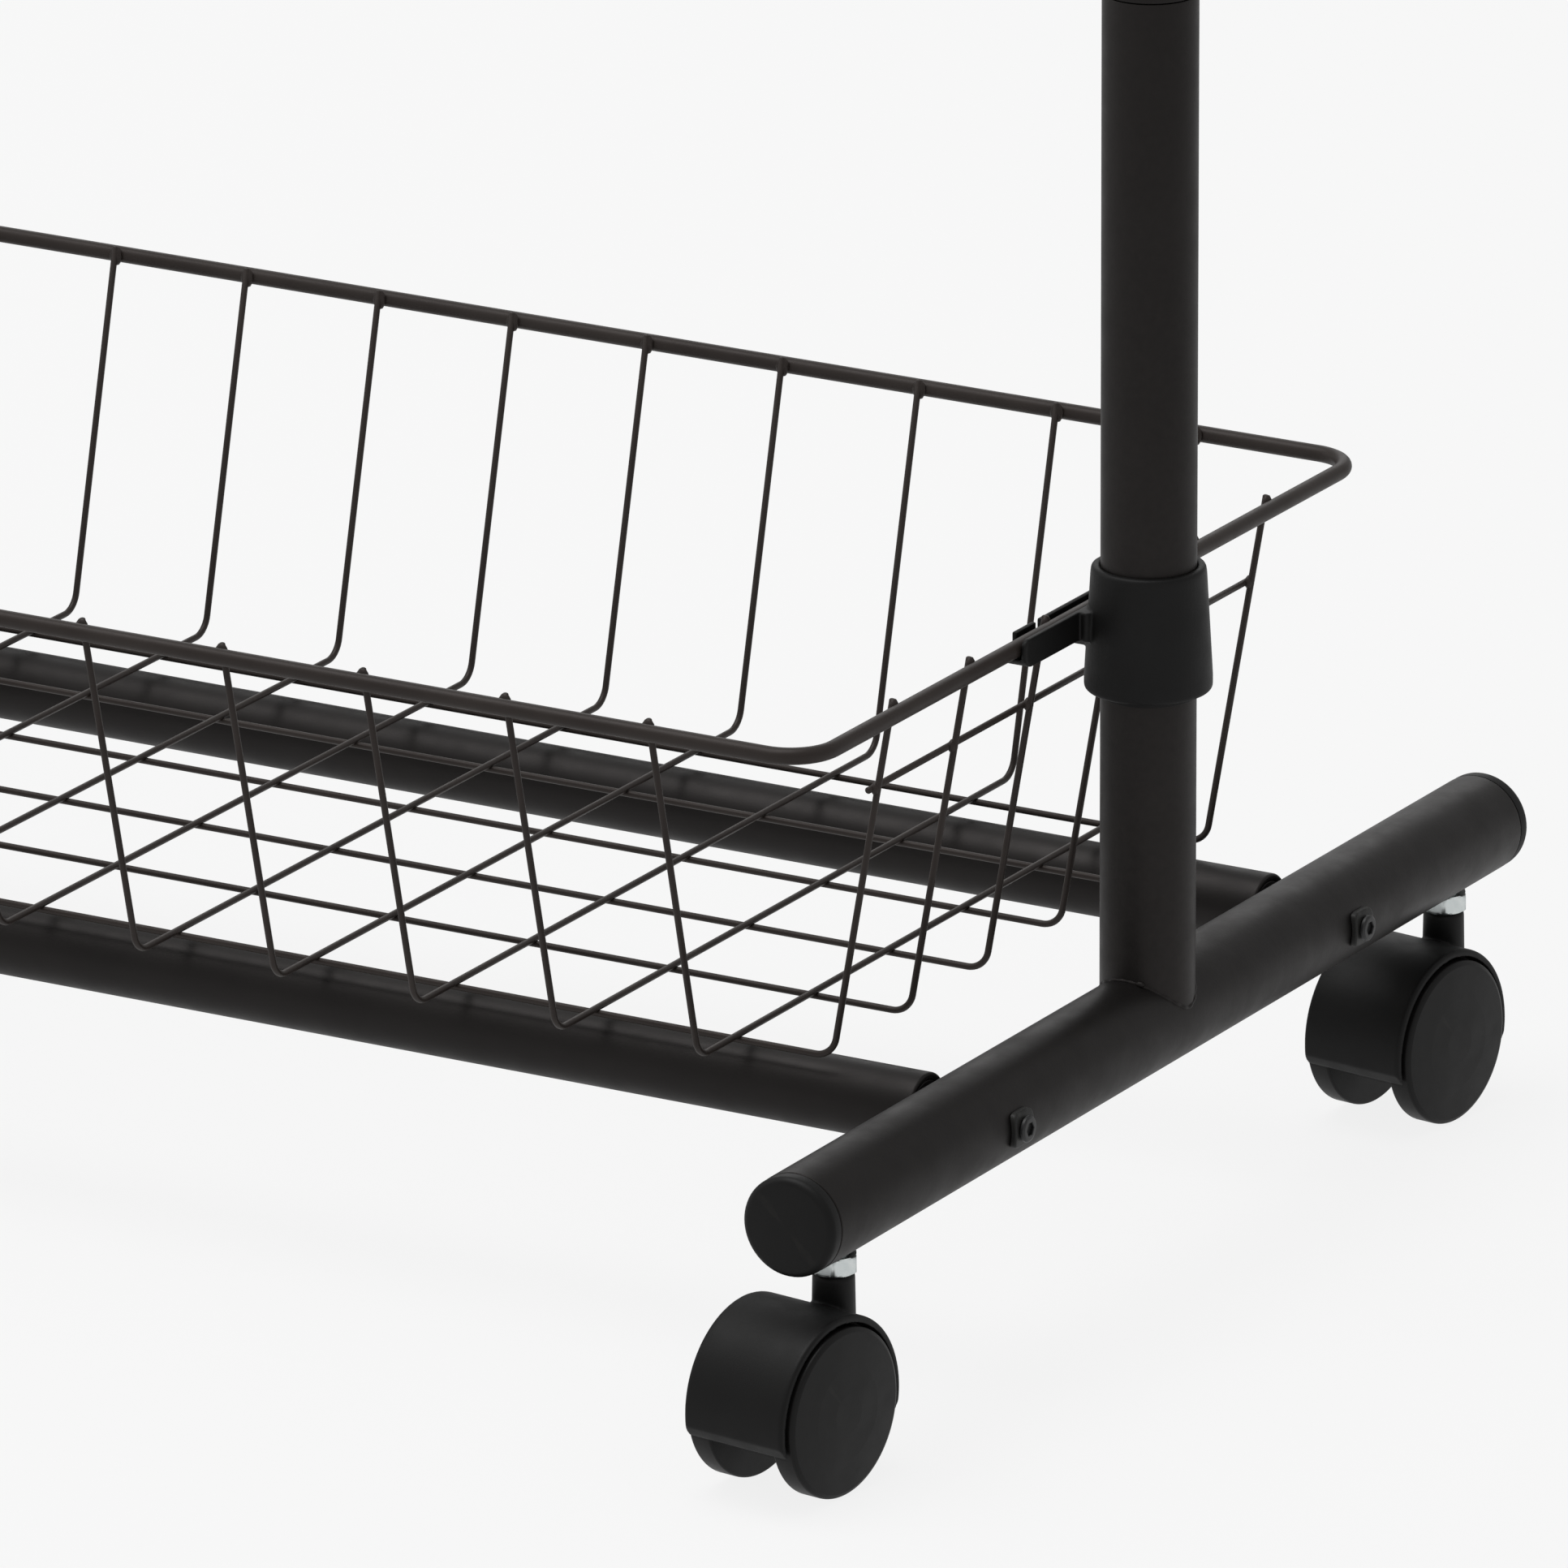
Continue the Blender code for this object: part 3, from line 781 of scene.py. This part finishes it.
def caster_housing(neck_top, trail):
    """Neck, centre web and hood moulded in one. The swivel axis is Z, and the axle trails towards -Y."""
    axle = (-trail, WHEEL_R)
    section = fillet(
        [(HOOD_INNER_R, -HOOD_HALF, 0.3), (HOOD_R, -HOOD_HALF, HOOD_LIP)]
        + [(HOOD_R, HOOD_HALF, HOOD_LIP), (HOOD_INNER_R, HOOD_HALF, 0.3)]
    )
    steps = 90
    rings = []
    for step in range(steps + 1):
        ring = []
        for radius, x in section:
            depth = (radius - HOOD_INNER_R) / (HOOD_R - HOOD_INNER_R)
            start = HOOD_INNER_END + (HOOD_OUTER_END - HOOD_INNER_END) * depth
            angle = math.radians(start + (180 - 2 * start) * step / steps)
            ring.append((x, axle[0] + radius * math.cos(angle), axle[1] + radius * math.sin(angle)))
        rings.append(ring)
    hood = skin(rings, capped=True)
    web_outline = arc(axle, HOOD_R - 1, -10, 190, 60)
    web_outline += [(axle[0] - 9, axle[1] - 7), (axle[0] - 4, axle[1] - 9)]
    web_outline += [(axle[0] + 4, axle[1] - 9), (axle[0] + 9, axle[1] - 7)]
    web = prism(web_outline, -WEB_HALF, WEB_HALF, "X")
    neck_corners = [(0, NECK_LOW, 0), (NECK_R + 0.4, NECK_LOW, 0), (NECK_R, neck_top, 1.3), (0, neck_top, 0)]
    neck = revolve(fillet(neck_corners))
    inside = arc(axle, HOOD_INNER_R, 0, 360, 120)[:-1]
    rooms = [prism(inside, WEB_HALF, 40, "X"), prism(inside, -40, -WEB_HALF, "X")]
    low = neck_top - PIN_BORE_DEPTH
    above = neck_top + 3
    pin_bore = revolve([(0, low), (PIN_BORE_R, low), (PIN_BORE_R, above), (0, above)])
    axle_bore = prism(arc(axle, AXLE_BORE_R, 0, 360, 40)[:-1], -5, 5, "X")
    return moulded([hood, web, neck], rooms + [pin_bore, axle_bore])


def wheel():
    """A thin domed wheel on a hub, made along +Z for the outer side of its axle."""
    corners = [(0, HUB_END, 0), (HUB_BORE_R, HUB_END, 0.2), (HUB_BORE_R, HUB_FACE, 0.2)]
    corners += [(HUB_R, HUB_FACE, 0.6), (HUB_R, TREAD_FACE, 1.5), (WHEEL_R, TREAD_FACE, 0.8)]
    corners += [(WHEEL_R, DISC_FACE - 1.85, 1.3), (WHEEL_R - 1.4, DISC_FACE - 1.25, 0.8)]
    corners += [(14, DISC_FACE - 0.45, 8.0), (6, DISC_FACE - 0.05, 5.0), (0, DISC_FACE, 0)]
    return revolve(fillet(corners), 2 * ROUND)


# Basket


def u_bar(top_half, floor_half, floor_drop, across, fixed):
    """A wire up one wall, along the floor and up the other wall, in the plane where `across` is fixed."""
    lean = (top_half - floor_half) / floor_drop
    top = top_half + STUB_RISE * lean
    corners = [(-top, STUB_RISE, 0), (-floor_half, -floor_drop, BEND_R)]
    corners += [(floor_half, -floor_drop, BEND_R), (top, STUB_RISE, 0)]
    line = fillet(corners, BEND_STEPS)
    if across == "X":
        normal = Vector((1, 0, 0))
        path = [(fixed, distance, height) for distance, height in line]
    else:
        normal = Vector((0, 1, 0))
        path = [(distance, fixed, height) for distance, height in line]
    return sweep(path, [normal] * len(path), WIRE_R)


def long_wire_places():
    return [LONG_PITCH * (i - (LONG_WIRES - 1) / 2) for i in range(LONG_WIRES)]


def basket(half_x, half_y):
    """The rim's bar, and the grid of wires with their welds. The origin is the middle of the rim."""
    upward = Vector((0, 0, 1))
    rim_corners = [(x * half_x, y * half_y, RIM_CORNER) for x, y in ((1, -1), (1, 1), (-1, 1), (-1, -1))]
    rim_line = [(x, y, 0) for x, y in fillet(rim_corners, RIM_CORNER_STEPS)]
    rim = sweep(rim_line, [upward] * len(rim_line), RIM_R, RIM_SIDES, closed=True)

    inside = RIM_R + WIRE_R + 0.1
    under = FLOOR_DROP + 2 * WIRE_R - WELD_SINK
    shells = []
    spread = 2 * (half_x - LAST_CROSS_WIRE_INSET) / (CROSS_WIRES - 1)
    radii = (RIM_BEAD_LONG, RIM_BEAD_SHORT, RIM_BEAD_HIGH)
    for i in range(CROSS_WIRES):
        x = -half_x + LAST_CROSS_WIRE_INSET + spread * i
        shells.append(u_bar(half_y - inside, FLOOR_HALF_WIDTH, FLOOR_DROP, "X", x))
        for way in (-1, 1):
            shells.append(bead((x, way * (half_y - RIM_R - 0.2), 0.2), radii, i))
    top_x = half_x - inside
    floor_x = half_x - FLOOR_END_INSET
    radii = (RIM_BEAD_SHORT, RIM_BEAD_LONG, RIM_BEAD_HIGH)
    for i, y in enumerate(long_wire_places()):
        shells.append(u_bar(top_x, floor_x, under, "Y", y))
        for way in (-1, 1):
            shells.append(bead((way * (half_x - RIM_R - 0.2), y, 0.2), radii, i))
    lean = (top_x - floor_x) / under
    end_x = top_x - lean * END_WIRE_DROP - 2 * WIRE_R + WELD_SINK
    end_y = long_wire_places()[-1] + END_WIRE_OVERHANG
    for way in (-1, 1):
        path = [(way * end_x, -end_y, -END_WIRE_DROP), (way * end_x, end_y, -END_WIRE_DROP)]
        shells.append(sweep(path, [upward] * 2, WIRE_R))
        for i, y in enumerate(long_wire_places()):
            shells.append(bead((way * (end_x + WIRE_R), y, -END_WIRE_DROP), END_BEAD_RADII, i))
    return mesh_of(rim), mesh_of(*shells)


# Basket brackets and rail corners


def split_sleeve():
    """A thin tapered sleeve, slit on its outer side."""
    inner = POST_R + SLEEVE_GAP
    profile = fillet(
        [(inner, SLEEVE_LOW, 0.1), (inner + 0.45, SLEEVE_LOW, 0.2), (inner + 0.5, COLLAR_LOW, 0)]
        + [(inner + 0.9, COLLAR_LOW + 0.5, 0), (inner + 0.7, SLEEVE_TOP, 0.1), (inner, SLEEVE_TOP, 0.1)]
    )
    rings = []
    for step in range(ROUND + 1):
        angle = math.radians(SLEEVE_SLIT + (360 - 2 * SLEEVE_SLIT) * step / ROUND)
        rings.append([(r * math.cos(angle), r * math.sin(angle), h) for r, h in profile])
    return skin(rings, capped=True)


def basket_bracket(rim_offset):
    """A tapered collar with a hook channel on its inner side, made for the +X post. Z is 0 at the rim."""
    collar_corners = [(10, COLLAR_LOW, 0), (COLLAR_LOW_R, COLLAR_LOW, 1.3), (COLLAR_LOW_R, COLLAR_LOW + 4, 6)]
    collar_corners += [(COLLAR_TOP_R + 0.3, COLLAR_TOP - 2.4, 3), (COLLAR_TOP_R, COLLAR_TOP, 1.3)]
    collar_corners.append((10, COLLAR_TOP, 0))
    collar = revolve(fillet(collar_corners))
    near = -rim_offset + RIM_R + GAP
    far = near - 2 * RIM_R - 2 * WIRE_R - 3 * GAP
    face = near + NEAR_WALL
    corners = [(7, HOOK_UNDER - 4, 0), (12, HOOK_UNDER, 2.5)]
    corners += [(HOOK_HALF, HOOK_UNDER, WING_CORNER), (HOOK_HALF, NEAR_TOP, 2.4)]
    corners += [(-a, b, r) for a, b, r in corners[::-1]]
    wing = prism(fillet(corners), far - FAR_WALL, face, "X")
    shells = [collar, wing]
    radius = WING_BLEND_R
    swing = 17.4 + radius
    reach = math.sqrt(swing**2 - (face + radius) ** 2)
    for way in (-1, 1):
        toward = math.degrees(math.atan2(-way * reach, -(face + radius)))
        start = 180 if way > 0 else -180
        curve = arc((face + radius, way * reach), radius, start, toward, 12)
        outline = [(face - 1, way * 2), (face - 1, way * reach)] + curve + [(0, way * 2)]
        shells.append(prism(outline, HOOK_UNDER, NEAR_TOP))
    cutters = [block((far, -60, HOOK_FLOOR), (near, 60, COLLAR_TOP + 5))]
    cutters.append(block((far - 3, -60, FAR_TOP), (far + 0.2, 60, NEAR_TOP + 2)))
    for low, high in ((-60, -FAR_HALF), (FAR_HALF, 60)):
        cutters.append(block((far - 3, low, HOOK_UNDER - 3), (far + 0.2, high, NEAR_TOP + 3)))
    for way in (-1, 1):
        y = way * LONG_PITCH / 2
        notch_low = (far - 3, y - NOTCH_HALF, HOOK_UNDER - 3)
        cutters.append(block(notch_low, (far + 3.2, y + NOTCH_HALF, NEAR_TOP + 3)))
    below = COLLAR_LOW - 5
    for bore, top in ((POST_R + GAP + 1.2, SLEEVE_TOP + GAP), (POST_R + SLEEVE_GAP, COLLAR_TOP + 5)):
        cutters.append(revolve([(0, below), (bore, below), (bore, top), (0, top)]))
    return moulded(shells, cutters)


def shell_along_x(shell):
    points, faces = shell
    return [turned_to_x(point) for point in points], faces


def rail_corner(drop):
    """An elbow over the post's top and the rail's end, for the +X post. Its origin is on the rail's axis."""
    upright = revolve(
        fillet([(0, -CORNER_DROP, 0), (CORNER_R, -CORNER_DROP, 1.0), (CORNER_R, 0, 0), (0, 0, 0)])
    )
    level = revolve(fillet([(0, -LEVEL_REACH, 0), (LEVEL_R, -LEVEL_REACH, 1.0), (LEVEL_R, 0, 0), (0, 0, 0)]))
    ball = revolve([(0, -CORNER_R)] + arc((0, 0), CORNER_R, -85, 85, 34) + [(0, CORNER_R)])
    below = -CORNER_DROP - 8
    post_bore = revolve([(0, below), (POST_R + GAP, below), (POST_R + GAP, -drop), (0, -drop)])
    outside = -LEVEL_REACH - 12
    bore = RAIL_R + GAP
    rail_bore = revolve([(0, outside), (bore, outside), (bore, -RAIL_STOP), (0, -RAIL_STOP)])
    return moulded([upright, shell_along_x(level), ball], [post_bore, shell_along_x(rail_bore)], VOXEL * 1.3)


# Assembly


def build_side(name, side, looks, shared):
    """One T-shaped end with its bracket, rail corner, bolts and casters."""
    turn = about_z(0 if side > 0 else 180)
    leg = middle(f"{name}_leg")
    along_y = z_along((0, 1, 0))
    half = extent(f"{name}_leg").y / 2
    place(f"{name}_leg", mesh_of(pipe(LEG_R, -half, half)), looks["steel"], leg, along_y)
    top = (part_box(f"{name}_lower_post")[1].z - leg.z) / MM
    place(f"{name}_lower_post", mesh_of(lower_post(top), foot_weld(), weld_end()), looks["steel"], leg)
    for node, radius in (
        ("middle_post", POST_R),
        ("upper_post", POST_R),
        ("lower_post_joiner", POST_R - WALL - 0.1),
        ("upper_post_joiner", POST_R - WALL - 0.1),
    ):
        half = extent(f"{name}_{node}").z / 2
        place(f"{name}_{node}", mesh_of(pipe(radius, -half, half)), looks["steel"], middle(f"{name}_{node}"))
    at_rim = Vector((leg.x, leg.y, middle("basket_rim").z))
    place(f"{name}_bracket_sleeve", shared["sleeve"], looks["moulded"], at_rim, turn)
    place(f"{name}_basket_bracket", shared["bracket"], looks["moulded"], at_rim, turn)
    at_rail = Vector((leg.x, leg.y, middle("hanging_rail").z))
    place(f"{name}_rail_corner", shared["corner"], looks["moulded"], at_rail, turn)
    for end, way in ENDS.items():
        where = f"{name}_{end}"
        cap_at = Vector((leg.x, leg.y + way * extent(f"{name}_leg").y / 2 * MM, leg.z))
        place(f"{where}_leg_cap", shared["cap"], looks["moulded"], cap_at, z_along((0, way, 0)))
        fixing = Vector((leg.x, middle(f"{end}_cross_tube").y, leg.z))
        place(f"{where}_saddle_washer", shared["washer"], looks["washer"], fixing, turn)
        place(f"{where}_bolt", shared["bolt"], looks["bolt"], fixing, z_along((side, 0, 0)))
        insert = middle(f"{where}_insert")
        place(f"{where}_insert", shared["insert"], looks["steel"], insert, z_along((side, 0, 0)))
        build_caster(where, looks, shared)


def build_caster(where, looks, shared):
    """One caster, its housing turned so that the axle is where the joints have it at rest."""
    swivel = Vector(joint(f"{where}_swivel")["pos_m"])
    spin = joint(f"{where}_outer_wheel_spin")
    axle = Vector(spin["pos_m"])
    on_floor = Vector((swivel.x, swivel.y, 0))
    offset = axle - on_floor
    turn = about_z(math.degrees(math.atan2(offset.x, -offset.y)))
    place(f"{where}_caster_stem", shared["stem"], looks["zinc"], on_floor)
    place(f"{where}_caster_housing", shared["housing"], looks["moulded"], on_floor, turn)
    outward = Vector(spin["axis"])
    if outward.x * swivel.x < 0:
        outward = -outward
    place(f"{where}_caster_axle", shared["axle"], looks["zinc"], axle, z_along(outward))
    place(f"{where}_outer_wheel", shared["wheel"], looks["wheel"], axle, z_along(outward))
    place(f"{where}_inner_wheel", shared["wheel"], looks["wheel"], axle, z_along(-outward))


def build_crossings(looks):
    """The two cross tubes, the hanging rail and the basket."""
    along_x = z_along((1, 0, 0))
    for node, radius, wall, edge in (
        ("front_cross_tube", CROSS_R, TURNED_END, TURNED_EDGE_R),
        ("rear_cross_tube", CROSS_R, TURNED_END, TURNED_EDGE_R),
        ("hanging_rail", RAIL_R, WALL, EDGE_R),
    ):
        half = extent(node).x / 2
        place(node, mesh_of(pipe(radius, -half, half, wall, edge)), looks["steel"], middle(node), along_x)
    size = extent("basket_rim")
    rim, wires = basket(size.x / 2 - RIM_R, size.y / 2 - RIM_R)
    place("basket_rim", rim, looks["wire"], middle("basket_rim"))
    place("basket_wires", wires, looks["wire"], middle("basket_rim"))


def build_object():
    looks = make_finishes()
    leg = middle("right_leg")
    swivel = Vector(joint("right_front_swivel")["pos_m"])
    axle = Vector(joint("right_front_outer_wheel_spin")["pos_m"])
    trail = Vector((axle.x - swivel.x, axle.y - swivel.y)).length / MM
    leg_z = leg.z / MM
    rim_offset = (leg.x - (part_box("basket_rim")[1].x - RIM_R * MM)) / MM
    insert_half = extent("right_front_insert").x / 2
    drop = (middle("hanging_rail").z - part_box("right_upper_post")[1].z) / MM - GAP
    shared = {
        "cap": mesh_of(leg_cap()),
        "washer": mesh_of(saddle_washer()),
        "bolt": mesh_of(bolt()),
        "insert": mesh_of(tube_insert(insert_half)),
        "stem": mesh_of(caster_stem(leg_z)),
        "housing": caster_housing(leg_z - LEG_R - NECK_DROP, trail),
        "wheel": mesh_of(wheel()),
        "axle": mesh_of(rod(AXLE_R, AXLE_HALF)),
        "sleeve": mesh_of(split_sleeve()),
        "bracket": basket_bracket(rim_offset),
        "corner": rail_corner(drop),
    }
    for name, side in SIDES.items():
        build_side(name, side, looks, shared)
    build_crossings(looks)


# Studio


def add_floor():
    """A large pale floor that is nearly its own light, so that it stays even, with only a faint shadow."""
    made, tree, shader = new_material("pale_floor")
    shader.inputs["Base Color"].default_value = (0.10, 0.10, 0.10, 1)
    shader.inputs["Roughness"].default_value = 0.9
    shader.inputs["Specular IOR Level"].default_value = 0.0
    shader.inputs["Emission Color"].default_value = (1, 1, 1, 1)
    sight = tree.nodes.new("ShaderNodeLightPath")
    glow = remap(tree, sight.outputs["Is Camera Ray"], 0.58, 0.845, 0, 1)
    tree.links.new(glow, shader.inputs["Emission Strength"])
    half = FLOOR_HALF
    corners = [(-half, -half, 0), (half, -half, 0), (half, half, 0), (-half, half, 0)]
    mesh = bpy.data.meshes.new("floor")
    mesh.from_pydata(corners, [], [(0, 1, 2, 3)])
    mesh.materials.append(made)
    floor = bpy.data.objects.new("floor", mesh)
    floor.location.z = -FLOOR_GAP
    bpy.context.scene.collection.objects.link(floor)


def add_world():
    """A pale even surround, brighter to the camera than it is as a light."""
    world = bpy.data.worlds.new("studio")
    bpy.context.scene.world = world
    world.use_nodes = True
    tree = world.node_tree
    background = tree.nodes["Background"]
    sight = tree.nodes.new("ShaderNodeLightPath")
    strength = remap(tree, sight.outputs["Is Camera Ray"], 0.45, 0.93, 0, 1)
    tree.links.new(strength, background.inputs["Strength"])
    background.inputs["Color"].default_value = (1.0, 1.0, 1.0, 1)


def add_softbox(name, place_at, width, height, power):
    """A rectangular light of the given size in metres and power in watts, aimed at the rack's right end."""
    lamp = bpy.data.lights.new(name, "AREA")
    lamp.shape = "RECTANGLE"
    lamp.size = width
    lamp.size_y = height
    lamp.energy = power
    obj = bpy.data.objects.new(name, lamp)
    obj.location = place_at
    obj.rotation_euler = (Vector(LIT_AIM) - Vector(place_at)).to_track_quat("-Z", "Y").to_euler()
    bpy.context.scene.collection.objects.link(obj)


def add_camera():
    """A long lens that looks down at the lower right corner."""
    azimuth = math.radians(CAMERA_AZIMUTH)
    elevation = math.radians(CAMERA_ELEVATION)
    roll = math.radians(CAMERA_ROLL)
    ahead = Vector(
        (
            -math.sin(azimuth) * math.cos(elevation),
            math.cos(azimuth) * math.cos(elevation),
            -math.sin(elevation),
        )
    )
    level = Vector((math.cos(azimuth), math.sin(azimuth), 0))
    upward = level.cross(ahead)
    right = math.cos(roll) * level + math.sin(roll) * upward
    up = math.cos(roll) * upward - math.sin(roll) * level
    lens = bpy.data.cameras.new("camera")
    lens.lens = LENS
    lens.sensor_width = SENSOR
    lens.clip_end = 200
    camera = bpy.data.objects.new("camera", lens)
    turn = Matrix((right, up, -ahead)).transposed().to_4x4()
    camera.matrix_world = Matrix.Translation(CAMERA_PLACE) @ turn
    bpy.context.scene.collection.objects.link(camera)
    bpy.context.scene.camera = camera


def add_studio():
    bpy.context.scene.view_settings.view_transform = "Standard"
    bpy.context.scene.view_settings.look = "None"
    add_floor()
    add_world()
    add_softbox("top_softbox", (-0.6, -0.6, 4.2), 3.0, 3.0, 90)
    add_softbox("back_softbox", (-1.7, 3.6, 1.7), 2.6, 1.4, 11)
    add_softbox("left_softbox", (-3.6, -1.2, 2.2), 2.0, 2.5, 12)
    add_camera()


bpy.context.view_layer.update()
build_object()
add_studio()
bpy.context.view_layer.update()
